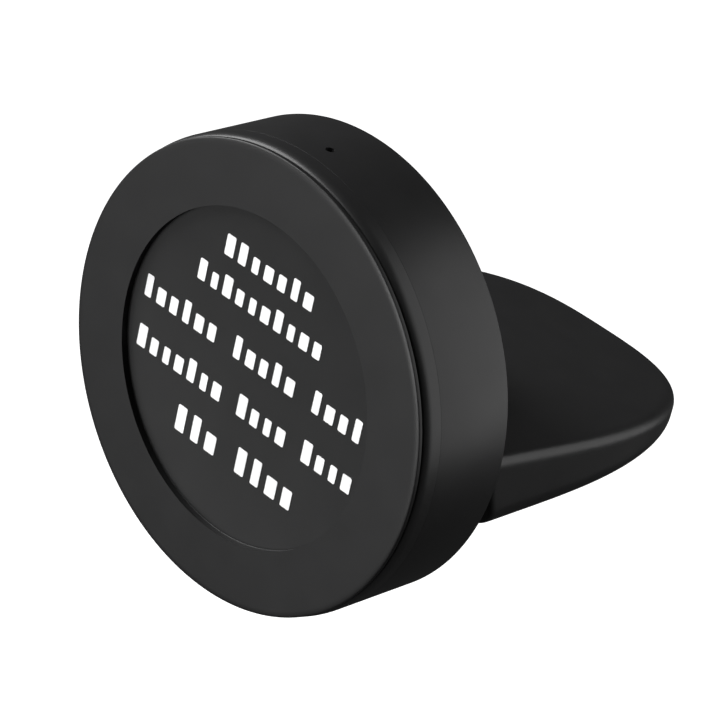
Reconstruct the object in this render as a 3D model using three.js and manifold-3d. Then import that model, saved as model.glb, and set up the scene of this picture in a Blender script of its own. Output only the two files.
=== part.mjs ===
// Magnetic car phone mount: a round charging head on a ball joint, carried by a rounded wedge
// that is pushed into a vent or slot. Millimetres, +Z up, +Y away from the phone.
// The origin is the centre of the grip pad's underside, where the mount is held.
import * as THREE from 'three';
import { mergeVertices } from 'three/addons/utils/BufferGeometryUtils.js';
import Module from 'manifold-3d';

const wasm = await Module();
wasm.setup();

// ---- driving dimensions; "depth" is counted back from the face plate's front ----
const GAP = 0.3;                  // clearance between neighbouring pieces
const HEAD_RADIUS = 22.5;
const HEAD_DEPTH = 11.2;
const HOUSING_WALL = 1.5;
const BACK_WALL = 1.6;

const PLATE_RADIUS = 22.2;
const FLANGE_THICKNESS = 0.6;     // the part of the plate that stands in front of the bezel
const PLATE_BODY_RADIUS = 21.2;
const PLATE_THICKNESS = 1.7;
const PLATE_BEVEL = [0.4, 0.15];  // across and back
const RECESS_RADIUS = 16.1;
const RECESS_DEPTH = 0.75;
const HOUSING_CHAMFER = 0.1;

const BEZEL_FRONT = FLANGE_THICKNESS + GAP;
const LIP_ROUNDING = [0.45, 0.6]; // across and back
const SEAM_DEPTH = 2.5;           // where the bezel ends and the rear housing starts
const LEDGE_DEPTH = PLATE_THICKNESS + GAP;
const LEDGE_INNER_RADIUS = 19.4;
const SPIGOT_RADIUS = HEAD_RADIUS - HOUSING_WALL - GAP;
const SPIGOT_DEPTH = 4.0;

const POST_ANGLES = [30, 150, 270];       // degrees from the top, seen from the front
const POST_CIRCLE = 18.3;
const POST_RADIUS = 1.7;
const POST_END = 9.3;
const SCREW_RADIUS = 0.7;
const SCREW_HEAD_RADIUS = 1.3;
const SCREW_HEAD_HEIGHT = 0.8;
const PILOT_DEPTH = 4;            // how far the screw holes run into the posts
const HOUSING_SCREW_LENGTH = 5.2;
const COVER_SCREW_LENGTH = 3.6;

const COIL_INNER = 5.5;
const COIL_OUTER = 13.4;
const COIL_DEPTH = 2.0;
const COIL_THICKNESS = 1.1;
const FERRITE_DEPTH = COIL_DEPTH + COIL_THICKNESS + GAP;
const FERRITE_THICKNESS = 0.6;
const CARRIER_INNER = COIL_OUTER + 0.5;
const CARRIER_OUTER = 19.0;
const CARRIER_THICKNESS = 2.0;
const POCKET_FLOOR = 0.4;
const MAGNET_COUNT = 6;
const MAGNET_CIRCLE = 16.5;
const MAGNET_RADIUS = 1.9;
const MAGNET_THICKNESS = 1.3;
const YOKE_DEPTH = LEDGE_DEPTH + CARRIER_THICKNESS + GAP;
const YOKE_THICKNESS = 0.6;
const BOARD_DEPTH = 8.0;
const BOARD_THICKNESS = 0.8;
const BOARD_INNER = 8.6;
const BOARD_OUTER = 20.4;

const INDICATOR_DEPTH = 5.2;
const INDICATOR_HOLE_RADIUS = 0.45;
const PIPE_RADIUS = 0.9;
const LED_CIRCLE = 17.0;
const LED_FRONT = 7.0;
const LED_HALF = [0.8, 0.5];      // half the lamp's width and half its height
const YOKE_CUT_HALF = 2;
const YOKE_CUT_TOP = 15;
const YOKE_CUT_FOOT = -15.5;
const SOCKET_WIDTH = 7.6;
const SOCKET_HEIGHT = 2.7;
const SOCKET_LENGTH = 5.4;
const SOCKET_DEPTH = 6.2;         // depth of the socket's centre line
const SOCKET_WALL = 0.35;
const SOCKET_CORNER = 0.9;
const SOCKET_SINK = 0.4;          // how far the socket's mouth lies inside the rim
const TONGUE_SINK = 1.2;
const TONGUE_HALF = [2.4, 0.35];

const BALL_DEPTH = 12.2;
const BALL_RADIUS = 4.5;
const SEAT_INNER = BALL_RADIUS + GAP;
const SEAT_OUTER = 5.8;
const CAVITY_RADIUS = SEAT_OUTER + GAP;
const BOSS_RADIUS = 7.4;
const BOSS_END = 14.0;
const DOME_WALL = 1.2;
const COLLAR_OUTER = 8.8;
const COLLAR_REAR_RADIUS = 6.6;
const COLLAR_FRONT = HEAD_DEPTH + 0.4;
const COLLAR_SHOULDER = 15.0;
const COLLAR_END = 16.6;
const GRIP_NOTCHES = 8;
const NOTCH_RADIUS = 0.9;
const NOTCH_CIRCLE = COLLAR_OUTER + 0.5;
const FRONT_SEAT_END = 62;        // degrees from the front of the ball
const REAR_SEAT_ARC = [96, 131];
const COLLAR_LIP_ANGLE = 136;
const STEM_RADIUS = 2.2;
const NECK_FRONT = 18.9;
const NECK_RADIUS = 6.2;
const STUD_END = 24.0;
const NECK_BACK = STUD_END + 3;   // where the neck's back meets its base
const NECK_BASE_DROP = 5;         // how far the neck's base lies under the wedge's top
const STUD_SHANK_RADIUS = 1.8;

const TAIL_HALF_WIDTH = 18.6;
const TAIL_TIP = 53.3;
const TAIL_ROUND_START = 22.8;
const TAIL_PLAN_POWER = 3.05;     // how square the rounded end is; 2 is an ellipse
const TAIL_TOP = -2.2;            // height of the top face at the head's back
const TAIL_SLOPE = 0.123;
const TAIL_BOTTOM = -12.62;
const TAIL_CORNER_ACROSS = 8.87;
const TAIL_CORNER_UP = 4.61;
const TAIL_FRONT = 14.6;
const EDGE_LEVELS = [0, 0.02, 0.25, 0.45, 0.65, 0.82, 1];   // shares of the lower edge's sweep
const FRONT_LEAN = 20;             // degrees that the wedge's front face leans back towards its foot
const LEAN_START = 0.4;
const HORN_INNER = 17.2;
const NOTCH_INNER = 11.5;
const TAIL_WALL = 2.0;
const COVER_INSET = 7.6;
const COVER_THICKNESS = 1.8;
const BOSS_PLACES = [[0, 27.5], [-5.5, 37], [5.5, 37]];
const COVER_BOSS_RADIUS = 2.2;
const PAD_INSET = 9.2;
const PAD_FRONT = 25.4;
const COVER_FRONT = NECK_FRONT + 5;
const PAD_THICKNESS = 0.9;
const PAD_POCKET = 0.5;
const PAD_CENTRE = 34;

const ROUND_STEPS = 40;
const SMALL_STEPS = 12;
const JOINT_STEPS = 24;
const MERGE_TOLERANCE = 1e-4;

// ---- materials ----
function finish(color, roughness, metalness = 0) {
  return () => new THREE.MeshStandardMaterial({ color, roughness, metalness });
}
const blackSatin = finish(0x2b2b2c, 0.42);
const blackMatte = finish(0x3a3a3b, 0.6);
const blackRubber = finish(0x1c1c1d, 0.9);
const whitePlastic = finish(0xd8d8d4, 0.5);
const clearPlastic = finish(0xe9eef0, 0.15);
const acetal = finish(0xe4e2da, 0.35);
const steel = finish(0xb5b7ba, 0.35, 1);
const magnetNickel = finish(0xc4c6c8, 0.22, 1);
const copper = finish(0xb8683a, 0.35, 1);
const ferrite = finish(0x4a4746, 0.8);
const boardGreen = finish(0x1f4d2e, 0.55);

// ---- solids ----
// Turns any closed three.js geometry into a solid whose faces point out.
function solid(source) {
  const bare = source.clone();
  bare.deleteAttribute('normal');
  bare.deleteAttribute('uv');
  const merged = mergeVertices(bare, MERGE_TOLERANCE);
  const points = merged.attributes.position.array;
  const index = merged.index.array;
  const corner = (i) => new THREE.Vector3().fromArray(points, 3 * i);
  const triangles = [];
  let volume = 0;
  for (let i = 0; i < index.length; i += 3) {
    const [a, b, c] = [index[i], index[i + 1], index[i + 2]];
    if (a === b || b === c || c === a) continue;
    triangles.push([a, b, c]);
    volume += corner(a).dot(corner(b).cross(corner(c)));
  }
  const wound = volume < 0 ? triangles.map(([a, b, c]) => [a, c, b]) : triangles;
  return new wasm.Manifold(new wasm.Mesh({
    numProp: 3,
    vertProperties: new Float32Array(points),
    triVerts: new Uint32Array(wound.flat()),
  }));
}

function geometryOf(manifold) {
  const mesh = manifold.getMesh();
  const geometry = new THREE.BufferGeometry();
  geometry.setAttribute('position', new THREE.BufferAttribute(mesh.vertProperties, 3));
  geometry.setIndex(new THREE.BufferAttribute(mesh.triVerts, 1));
  geometry.computeVertexNormals();
  return geometry;
}

// A body turned about the depth axis from [radius, depth] points.
function turned(profile, steps = ROUND_STEPS) {
  const points = profile.map(([radius, depth]) => new THREE.Vector2(radius, depth));
  return solid(new THREE.LatheGeometry(points, steps));
}

// A ring profile closes on its first point.
function ring(profile, steps = ROUND_STEPS) {
  return turned([...profile, profile[0]], steps);
}

// Points on a circle arc in the [radius, depth] plane; angles in degrees from the front.
function arc(radius, from, to, count, centre = BALL_DEPTH) {
  return Array.from({ length: count + 1 }, (_, i) => {
    const angle = THREE.MathUtils.degToRad(from + (to - from) * i / count);
    return [radius * Math.sin(angle), centre - radius * Math.cos(angle)];
  });
}

// A round bar along the depth axis, at x and z.
function bar(radius, start, end, x = 0, z = 0) {
  const geometry = new THREE.CylinderGeometry(radius, radius, end - start, SMALL_STEPS);
  geometry.translate(x, (start + end) / 2, z);
  return solid(geometry);
}

// A round bar that stands up, from one height to another.
function post(radius, bottom, top, x, depth) {
  const geometry = new THREE.CylinderGeometry(radius, radius, top - bottom, SMALL_STEPS);
  geometry.rotateX(Math.PI / 2);
  geometry.translate(x, depth, (bottom + top) / 2);
  return solid(geometry);
}

function block(low, high) {
  const size = high.map((value, i) => value - low[i]);
  const middle = high.map((value, i) => (value + low[i]) / 2);
  return solid(new THREE.BoxGeometry(...size).translate(...middle));
}

// A plan or side outline pushed along +Z; the caller turns it into place.
function pushed(outline, length) {
  const shape = new THREE.Shape(outline.map(([x, y]) => new THREE.Vector2(x, y)));
  return new THREE.ExtrudeGeometry(shape, { depth: length, bevelEnabled: false });
}

// Where a feature on a circle lies: angle in degrees from the top, towards +X.
function around(angle, radius) {
  const turn = THREE.MathUtils.degToRad(angle);
  return [radius * Math.sin(turn), radius * Math.cos(turn)];
}

// ---- head ----
function facePlate() {
  const [across, back] = PLATE_BEVEL;
  return turned([
    [0, RECESS_DEPTH], [RECESS_RADIUS, RECESS_DEPTH], [RECESS_RADIUS, 0],
    [PLATE_RADIUS - across, 0], [PLATE_RADIUS, back], [PLATE_RADIUS, FLANGE_THICKNESS],
    [PLATE_BODY_RADIUS, FLANGE_THICKNESS], [PLATE_BODY_RADIUS, PLATE_THICKNESS],
    [0, PLATE_THICKNESS],
  ]);
}

function frontBezel() {
  const lip = PLATE_BODY_RADIUS + GAP;
  const [across, back] = LIP_ROUNDING;
  const rounding = [0, 30, 60, 90].map((angle) => {
    const turn = THREE.MathUtils.degToRad(angle);
    const radius = HEAD_RADIUS - across * (1 - Math.sin(turn));
    return [radius, BEZEL_FRONT + back * (1 - Math.cos(turn))];
  });
  let body = ring([
    [lip, BEZEL_FRONT], ...rounding, [HEAD_RADIUS, SEAM_DEPTH],
    [SPIGOT_RADIUS, SEAM_DEPTH], [SPIGOT_RADIUS, SPIGOT_DEPTH],
    [LEDGE_INNER_RADIUS, SPIGOT_DEPTH], [LEDGE_INNER_RADIUS, LEDGE_DEPTH], [lip, LEDGE_DEPTH],
  ]);
  for (const angle of POST_ANGLES) {
    const [x, z] = around(angle, POST_CIRCLE);
    body = body.add(bar(POST_RADIUS, LEDGE_DEPTH, POST_END, x, z));
    body = body.subtract(bar(SCREW_RADIUS + GAP, POST_END - PILOT_DEPTH, POST_END + 1, x, z));
  }
  return body;
}

function rearHousing() {
  const inner = HEAD_RADIUS - HOUSING_WALL;
  const wallFront = HEAD_DEPTH - BACK_WALL;
  const dome = CAVITY_RADIUS + DOME_WALL;
  const domeAngle = THREE.MathUtils.radToDeg(Math.acos((BALL_DEPTH - wallFront) / dome));
  let body = turned([
    ...arc(dome, 0, domeAngle, 4), [inner, wallFront], [inner, SEAM_DEPTH + GAP],
    [HEAD_RADIUS, SEAM_DEPTH + GAP], [HEAD_RADIUS, HEAD_DEPTH - HOUSING_CHAMFER],
    [HEAD_RADIUS - HOUSING_CHAMFER, HEAD_DEPTH], [BOSS_RADIUS, HEAD_DEPTH], [BOSS_RADIUS, BOSS_END],
    [CAVITY_RADIUS, BOSS_END], ...arc(CAVITY_RADIUS, 90, 0, 6),
  ]);
  for (const angle of POST_ANGLES) {
    const [x, z] = around(angle, POST_CIRCLE);
    body = body.subtract(bar(SCREW_RADIUS + GAP, wallFront - 1, HEAD_DEPTH + 1, x, z));
    const seat = HEAD_DEPTH - SCREW_HEAD_HEIGHT;
    body = body.subtract(bar(SCREW_HEAD_RADIUS + GAP, seat, HEAD_DEPTH + 1, x, z));
  }
  body = body.subtract(post(INDICATOR_HOLE_RADIUS, inner - 1, HEAD_RADIUS + 1, 0, INDICATOR_DEPTH));
  const mouth = roundedSlot(SOCKET_WIDTH + 2 * GAP, SOCKET_HEIGHT + 2 * GAP, SOCKET_CORNER + GAP);
  return body.subtract(socketSolid(mouth, -HEAD_RADIUS - 1, -inner + 1));
}

// A rounded rectangle as outline points, centred on zero.
function roundedSlot(width, height, corner) {
  const shape = new THREE.Shape();
  const [w, h, c] = [width / 2, height / 2, corner];
  shape.absarc(w - c, h - c, c, 0, Math.PI / 2);
  shape.absarc(c - w, h - c, c, Math.PI / 2, Math.PI);
  shape.absarc(c - w, c - h, c, Math.PI, 1.5 * Math.PI);
  shape.absarc(w - c, c - h, c, 1.5 * Math.PI, 2 * Math.PI);
  return shape.extractPoints(3).shape.map((point) => [point.x, point.y]);
}

// The socket's outline lies across the rim, so it is pushed along Z at the socket's depth.
function socketSolid(outline, bottom, top) {
  return solid(pushed(outline, top - bottom).translate(0, SOCKET_DEPTH, bottom));
}

function usbShell() {
  const bottom = -HEAD_RADIUS + SOCKET_SINK;
  const outside = roundedSlot(SOCKET_WIDTH, SOCKET_HEIGHT, SOCKET_CORNER);
  const inside = roundedSlot(
    SOCKET_WIDTH - 2 * SOCKET_WALL, SOCKET_HEIGHT - 2 * SOCKET_WALL, SOCKET_CORNER - SOCKET_WALL);
  const tube = socketSolid(outside, bottom, bottom + SOCKET_LENGTH);
  return tube.subtract(socketSolid(inside, bottom - 1, bottom + SOCKET_LENGTH - SOCKET_WALL));
}

function usbTongue() {
  const bottom = -HEAD_RADIUS + TONGUE_SINK;
  const top = -HEAD_RADIUS + SOCKET_SINK + SOCKET_LENGTH - SOCKET_WALL - GAP;
  const [across, thick] = TONGUE_HALF;
  return block([-across, SOCKET_DEPTH - thick, bottom], [across, SOCKET_DEPTH + thick, top]);
}

function magnetCarrier() {
  let body = ring([
    [CARRIER_INNER, LEDGE_DEPTH], [CARRIER_OUTER, LEDGE_DEPTH],
    [CARRIER_OUTER, LEDGE_DEPTH + CARRIER_THICKNESS], [CARRIER_INNER, LEDGE_DEPTH + CARRIER_THICKNESS],
  ]);
  for (const angle of POST_ANGLES) {
    const [x, z] = around(angle, POST_CIRCLE);
    body = body.subtract(bar(POST_RADIUS + GAP, 0, HEAD_DEPTH, x, z));
  }
  for (const [x, z] of magnetPlaces()) {
    body = body.subtract(bar(MAGNET_RADIUS + GAP, LEDGE_DEPTH + POCKET_FLOOR, HEAD_DEPTH, x, z));
  }
  return body;
}

function magnetPlaces() {
  return Array.from({ length: MAGNET_COUNT }, (_, i) => around(360 * i / MAGNET_COUNT, MAGNET_CIRCLE));
}

function magnet() {
  return bar(MAGNET_RADIUS, 0, MAGNET_THICKNESS);
}

function magnetYoke() {
  let body = ring([
    [CARRIER_INNER, YOKE_DEPTH], [CARRIER_OUTER, YOKE_DEPTH],
    [CARRIER_OUTER, YOKE_DEPTH + YOKE_THICKNESS], [CARRIER_INNER, YOKE_DEPTH + YOKE_THICKNESS],
  ]);
  for (const angle of POST_ANGLES) {
    const [x, z] = around(angle, POST_CIRCLE);
    body = body.subtract(bar(POST_RADIUS + GAP, 0, HEAD_DEPTH, x, z));
  }
  // Cut back at the top for the light pipe and at the bottom for the socket.
  body = body.subtract(
    block([-YOKE_CUT_HALF, 0, YOKE_CUT_TOP], [YOKE_CUT_HALF, HEAD_DEPTH, HEAD_RADIUS]));
  const side = SOCKET_WIDTH / 2 + 2 * GAP;
  return body.subtract(block([-side, 0, -HEAD_RADIUS], [side, HEAD_DEPTH, YOKE_CUT_FOOT]));
}

function chargingCoil() {
  return ring([
    [COIL_INNER, COIL_DEPTH], [COIL_OUTER, COIL_DEPTH],
    [COIL_OUTER, COIL_DEPTH + COIL_THICKNESS], [COIL_INNER, COIL_DEPTH + COIL_THICKNESS],
  ]);
}

function ferriteSheet() {
  return turned([
    [0, FERRITE_DEPTH], [COIL_OUTER, FERRITE_DEPTH],
    [COIL_OUTER, FERRITE_DEPTH + FERRITE_THICKNESS], [0, FERRITE_DEPTH + FERRITE_THICKNESS],
  ]);
}

function circuitBoard() {
  let body = ring([
    [BOARD_INNER, BOARD_DEPTH], [BOARD_OUTER, BOARD_DEPTH],
    [BOARD_OUTER, BOARD_DEPTH + BOARD_THICKNESS], [BOARD_INNER, BOARD_DEPTH + BOARD_THICKNESS],
  ]);
  for (const angle of POST_ANGLES) {
    const [x, z] = around(angle, POST_CIRCLE);
    body = body.subtract(bar(POST_RADIUS + GAP, 0, HEAD_DEPTH, x, z));
  }
  return body;
}

function ledChip() {
  const [across, up] = LED_HALF;
  return block([-across, LED_FRONT, LED_CIRCLE - up], [across, BOARD_DEPTH - GAP, LED_CIRCLE + up]);
}

// An elbow: forward from the lamp on the board, then out to the hole in the rim.
function lightPipe() {
  const top = HEAD_RADIUS - HOUSING_WALL - GAP;
  const bend = post(PIPE_RADIUS, LED_CIRCLE - PIPE_RADIUS, top, 0, INDICATOR_DEPTH);
  return bend.add(bar(PIPE_RADIUS * 0.8, INDICATOR_DEPTH, LED_FRONT - GAP, 0, LED_CIRCLE));
}

function screw(length) {
  return turned([
    [0, 0], [SCREW_HEAD_RADIUS, 0], [SCREW_HEAD_RADIUS, -SCREW_HEAD_HEIGHT + GAP],
    [SCREW_RADIUS, -SCREW_HEAD_HEIGHT + GAP], [SCREW_RADIUS, -length], [0, -length],
  ], SMALL_STEPS);
}

// ---- ball joint ----
function frontSeat() {
  const end = FRONT_SEAT_END;
  return turned([...arc(SEAT_INNER, 0, end, 4), ...arc(SEAT_OUTER, end, 0, 4)], JOINT_STEPS);
}

function rearSeat() {
  const [from, to] = REAR_SEAT_ARC;
  return ring([...arc(SEAT_INNER, from, to, 4), ...arc(SEAT_OUTER, to, from, 4)], JOINT_STEPS);
}

function collarNut() {
  const thread = BOSS_RADIUS + GAP;
  const lipStart = BOSS_END + GAP;
  const lipAngle = 90 + THREE.MathUtils.radToDeg(Math.asin((lipStart - BALL_DEPTH) / CAVITY_RADIUS));
  let body = ring([
    [thread, COLLAR_FRONT], [COLLAR_OUTER, COLLAR_FRONT], [COLLAR_OUTER, COLLAR_SHOULDER],
    [COLLAR_REAR_RADIUS, COLLAR_END],
    ...arc(CAVITY_RADIUS, COLLAR_LIP_ANGLE, lipAngle, 5), [thread, lipStart],
  ]);
  for (let i = 0; i < GRIP_NOTCHES; i += 1) {
    const [x, z] = around(360 * i / GRIP_NOTCHES, NOTCH_CIRCLE);
    body = body.subtract(bar(NOTCH_RADIUS, COLLAR_FRONT - 1, COLLAR_SHOULDER + 1, x, z));
  }
  return body;
}

function ballStud() {
  const stemAngle = 180 - THREE.MathUtils.radToDeg(Math.asin(STEM_RADIUS / BALL_RADIUS));
  const flange = NECK_FRONT - GAP;
  return turned([
    ...arc(BALL_RADIUS, 0, stemAngle, 9), [STEM_RADIUS, flange],
    [STUD_SHANK_RADIUS, flange], [STUD_SHANK_RADIUS, STUD_END - GAP], [0, STUD_END - GAP],
  ], JOINT_STEPS);
}

// ---- tail ----
// The plan outline from one front corner round the tip to the other, moved in by an inset.
function planOutline(inset, front) {
  const halfWidth = TAIL_HALF_WIDTH - inset;
  const reach = TAIL_TIP - inset - TAIL_ROUND_START;
  const steps = 24;
  const rounded = Array.from({ length: steps + 1 }, (_, i) => {
    const angle = Math.PI * i / steps;
    const across = Math.sign(Math.cos(angle)) * Math.abs(Math.cos(angle)) ** (2 / TAIL_PLAN_POWER);
    const along = Math.sin(angle) ** (2 / TAIL_PLAN_POWER);
    return [halfWidth * across, TAIL_ROUND_START + reach * along];
  });
  const share = Math.max(0, front - TAIL_ROUND_START) / reach;
  const corner = halfWidth * (1 - share ** TAIL_PLAN_POWER) ** (1 / TAIL_PLAN_POWER);
  return [[corner, front], ...rounded.filter(([, depth]) => depth > front + 0.1), [-corner, front]];
}

// The wedge's solid: the plan outline at every level, drawn in around the lower edge. The inset
// moves the sides in and the drop lowers the top face, which makes the hollow's shape.
function wedge(inset, drop, bottom) {
  const outline = planOutline(inset, TAIL_FRONT - 3);
  const levels = EDGE_LEVELS.length - 1;
  const geometry = new THREE.CylinderGeometry(1, 1, 1, outline.length, levels);
  const place = geometry.attributes.position;
  for (let i = 0; i < place.count; i += 1) {
    const [unitX, unitY, unitZ] = [place.getX(i), place.getY(i), place.getZ(i)];
    const turn = Math.atan2(unitX, unitZ) / (2 * Math.PI) + 1;
    const corner = Math.round(turn * outline.length) % outline.length;
    const onEdge = Math.hypot(unitX, unitZ) > 0.5;
    const [x, depth] = onEdge ? outline[corner] : [0, TAIL_ROUND_START];
    const level = Math.round((0.5 - unitY) * levels);
    const sweep = EDGE_LEVELS[level] * Math.PI / 2;
    const keep = 1 - (1 - Math.cos(sweep)) * TAIL_CORNER_ACROSS / TAIL_HALF_WIDTH;
    const beyond = Math.max(0, depth - TAIL_ROUND_START);
    const along = depth - beyond * (1 - keep);
    const top = TAIL_TOP - drop - TAIL_SLOPE * (along - HEAD_DEPTH);
    const side = bottom + TAIL_CORNER_UP * (1 - Math.sin(sweep));
    place.setXYZ(i, x * keep, along, level === 0 ? top : Math.min(side, top - 0.2));
  }
  return solid(geometry);
}

// The neck that carries the ball stud: a round-topped block with its back sloping down.
function neck() {
  const base = TAIL_TOP - NECK_BASE_DROP;
  const front = [[-NECK_RADIUS, base], [NECK_RADIUS, base]];
  const steps = 16;
  for (let i = 0; i <= steps; i += 1) {
    const angle = Math.PI * i / steps;
    front.push([NECK_RADIUS * Math.cos(angle), NECK_RADIUS * Math.sin(angle)]);
  }
  const tombstone = pushed(front, 10).rotateX(Math.PI / 2).translate(0, NECK_FRONT + 10, 0);
  const profile = [
    [NECK_FRONT, base], [NECK_BACK, base], [NECK_BACK - 0.8, TAIL_TOP - 1.5],
    [NECK_BACK - 2.2, STUD_SHANK_RADIUS], [STUD_END - 1.5, NECK_RADIUS], [NECK_FRONT, NECK_RADIUS],
  ];
  const side = pushed(profile, 4 * NECK_RADIUS).rotateY(Math.PI / 2).rotateX(Math.PI / 2);
  side.translate(-2 * NECK_RADIUS, 0, 0);
  return solid(tombstone).intersect(solid(side));
}

// Everything that is taken off the wedge's front so that the head can tilt and pan.
function frontClearance() {
  const beyond = 30;
  const steps = 8;
  const side = Array.from({ length: steps + 1 }, (_, i) => {
    const share = i / steps;
    const rise = THREE.MathUtils.smoothstep(share, 0, 1);
    return [
      HORN_INNER + (NOTCH_INNER - HORN_INNER) * share,
      TAIL_FRONT + (NECK_FRONT - TAIL_FRONT) * rise,
    ];
  });
  const mirrored = side.map(([x, depth]) => [-x, depth]).reverse();
  const notch = [
    [-beyond, 0], [beyond, 0], [beyond, TAIL_FRONT], ...side, ...mirrored, [-beyond, TAIL_FRONT],
  ];
  const plan = solid(pushed(notch, 2 * beyond).translate(0, 0, -beyond));
  const slope = new THREE.BoxGeometry(2 * beyond, beyond, 2 * beyond);
  slope.translate(0, -beyond / 2, -beyond);
  slope.rotateX(THREE.MathUtils.degToRad(FRONT_LEAN));
  slope.translate(0, TAIL_FRONT, TAIL_TOP - LEAN_START);
  return plan.add(solid(slope));
}

function tailShell() {
  const outside = wedge(0, 0, TAIL_BOTTOM).add(neck()).subtract(frontClearance());
  const hollow = wedge(TAIL_WALL, TAIL_WALL, TAIL_BOTTOM + TAIL_WALL)
    .intersect(block([-30, NECK_FRONT + TAIL_WALL, -30], [30, 60, 10]));
  const opening = solid(pushed(planOutline(COVER_INSET, COVER_FRONT), TAIL_WALL + 4)
    .translate(0, 0, TAIL_BOTTOM - 2));
  let body = outside.subtract(hollow).subtract(opening);
  for (const [x, depth] of BOSS_PLACES) {
    const roof = TAIL_TOP - TAIL_WALL / 2 - TAIL_SLOPE * (depth - HEAD_DEPTH);
    const foot = TAIL_BOTTOM + COVER_THICKNESS + GAP;
    body = body.add(post(COVER_BOSS_RADIUS, foot, roof, x, depth));
    body = body.subtract(post(SCREW_RADIUS + GAP, foot - 1, roof - 1.2, x, depth));
  }
  return body.subtract(bar(STUD_SHANK_RADIUS + GAP, NECK_FRONT - 1, STUD_END));
}

function tailCover() {
  const plate = pushed(planOutline(COVER_INSET + GAP, COVER_FRONT + GAP), COVER_THICKNESS);
  let body = solid(plate.translate(0, 0, TAIL_BOTTOM));
  const pocket = pushed(planOutline(PAD_INSET - GAP, PAD_FRONT - GAP), PAD_POCKET + 1);
  body = body.subtract(solid(pocket.translate(0, 0, TAIL_BOTTOM - 1)));
  for (const [x, depth] of BOSS_PLACES) {
    body = body.subtract(post(SCREW_RADIUS + GAP, TAIL_BOTTOM - 1, -5, x, depth));
    const seat = TAIL_BOTTOM + PAD_POCKET + SCREW_HEAD_HEIGHT;
    body = body.subtract(post(SCREW_HEAD_RADIUS + GAP, TAIL_BOTTOM - 1, seat, x, depth));
  }
  return body;
}

function gripPad() {
  const plate = pushed(planOutline(PAD_INSET, PAD_FRONT), PAD_THICKNESS - GAP);
  return solid(plate.translate(0, 0, TAIL_BOTTOM + PAD_POCKET - PAD_THICKNESS));
}

// ---- assembly ----
const part = new THREE.Group();
const assembly = new THREE.Group();
assembly.position.set(0, -PAD_CENTRE, PAD_THICKNESS - PAD_POCKET - TAIL_BOTTOM);
part.add(assembly);

function piece(name, body, material, parent = assembly) {
  const mesh = new THREE.Mesh(geometryOf(body), material());
  mesh.name = name;
  parent.add(mesh);
  return mesh;
}

const head = new THREE.Group();
assembly.add(head);
piece('face_plate', facePlate(), blackMatte, head);
piece('front_bezel', frontBezel(), blackSatin, head);
piece('rear_housing', rearHousing(), blackSatin, head);
piece('charging_coil', chargingCoil(), copper, head);
piece('ferrite_sheet', ferriteSheet(), ferrite, head);
piece('magnet_carrier', magnetCarrier(), whitePlastic, head);
magnetPlaces().forEach(([x, z], i) => {
  const mesh = piece(`magnet_${i + 1}`, magnet(), magnetNickel, head);
  mesh.position.set(x, LEDGE_DEPTH + CARRIER_THICKNESS - MAGNET_THICKNESS, z);
});
piece('magnet_yoke', magnetYoke(), steel, head);
piece('circuit_board', circuitBoard(), boardGreen, head);
piece('usb_shell', usbShell(), steel, head);
piece('usb_tongue', usbTongue(), blackMatte, head);
piece('led_chip', ledChip(), whitePlastic, head);
piece('light_pipe', lightPipe(), clearPlastic, head);
POST_ANGLES.forEach((angle, i) => {
  const [x, z] = around(angle, POST_CIRCLE);
  const mesh = piece(`housing_screw_${i + 1}`, screw(HOUSING_SCREW_LENGTH), steel, head);
  mesh.position.set(x, HEAD_DEPTH, z);
});
piece('collar_nut', collarNut(), blackSatin, head);

piece('front_seat', frontSeat(), acetal);
piece('rear_seat', rearSeat(), acetal);
piece('ball_stud', ballStud(), steel);

const tail = new THREE.Group();
assembly.add(tail);
piece('tail_shell', tailShell(), blackSatin, tail);
piece('tail_cover', tailCover(), blackSatin, tail);
piece('grip_pad', gripPad(), blackRubber, tail);
BOSS_PLACES.forEach(([x, depth], i) => {
  const mesh = piece(`cover_screw_${i + 1}`, screw(COVER_SCREW_LENGTH), steel, tail);
  mesh.rotation.x = -Math.PI / 2;
  mesh.position.set(x, depth, TAIL_BOTTOM + PAD_POCKET + GAP);
});

export default part;
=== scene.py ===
"""Looks of the car phone mount: a round charging head on a ball joint, carried by a rounded wedge.

Blender works in metres in the CAD model's frame: +Z up, -Y towards the phone. Shapes are given in
millimetres about the head's axis: radius or x across, depth back from the face, height above it.
"""
import math

import bmesh
import bpy
import numpy as np
from mathutils import Matrix, Vector


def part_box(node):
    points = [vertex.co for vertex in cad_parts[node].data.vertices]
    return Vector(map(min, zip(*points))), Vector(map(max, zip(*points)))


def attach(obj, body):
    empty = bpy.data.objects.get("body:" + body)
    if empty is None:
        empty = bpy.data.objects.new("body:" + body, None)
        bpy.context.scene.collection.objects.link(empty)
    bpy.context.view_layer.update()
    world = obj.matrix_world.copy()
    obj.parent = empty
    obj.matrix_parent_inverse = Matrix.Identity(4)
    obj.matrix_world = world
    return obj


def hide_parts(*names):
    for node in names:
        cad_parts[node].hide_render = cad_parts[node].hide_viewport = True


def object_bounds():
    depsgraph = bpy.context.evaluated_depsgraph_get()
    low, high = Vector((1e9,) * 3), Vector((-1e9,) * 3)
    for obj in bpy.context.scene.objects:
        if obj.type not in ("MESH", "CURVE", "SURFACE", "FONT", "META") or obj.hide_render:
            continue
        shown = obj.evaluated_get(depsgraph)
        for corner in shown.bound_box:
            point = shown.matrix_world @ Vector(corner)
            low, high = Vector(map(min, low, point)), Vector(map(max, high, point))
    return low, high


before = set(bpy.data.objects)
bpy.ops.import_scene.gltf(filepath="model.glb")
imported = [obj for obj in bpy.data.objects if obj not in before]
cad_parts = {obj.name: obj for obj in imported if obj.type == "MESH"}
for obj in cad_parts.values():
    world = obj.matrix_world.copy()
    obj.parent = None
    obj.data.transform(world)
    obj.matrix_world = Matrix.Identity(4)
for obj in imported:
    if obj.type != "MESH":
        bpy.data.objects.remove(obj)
cad_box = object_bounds()

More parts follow.
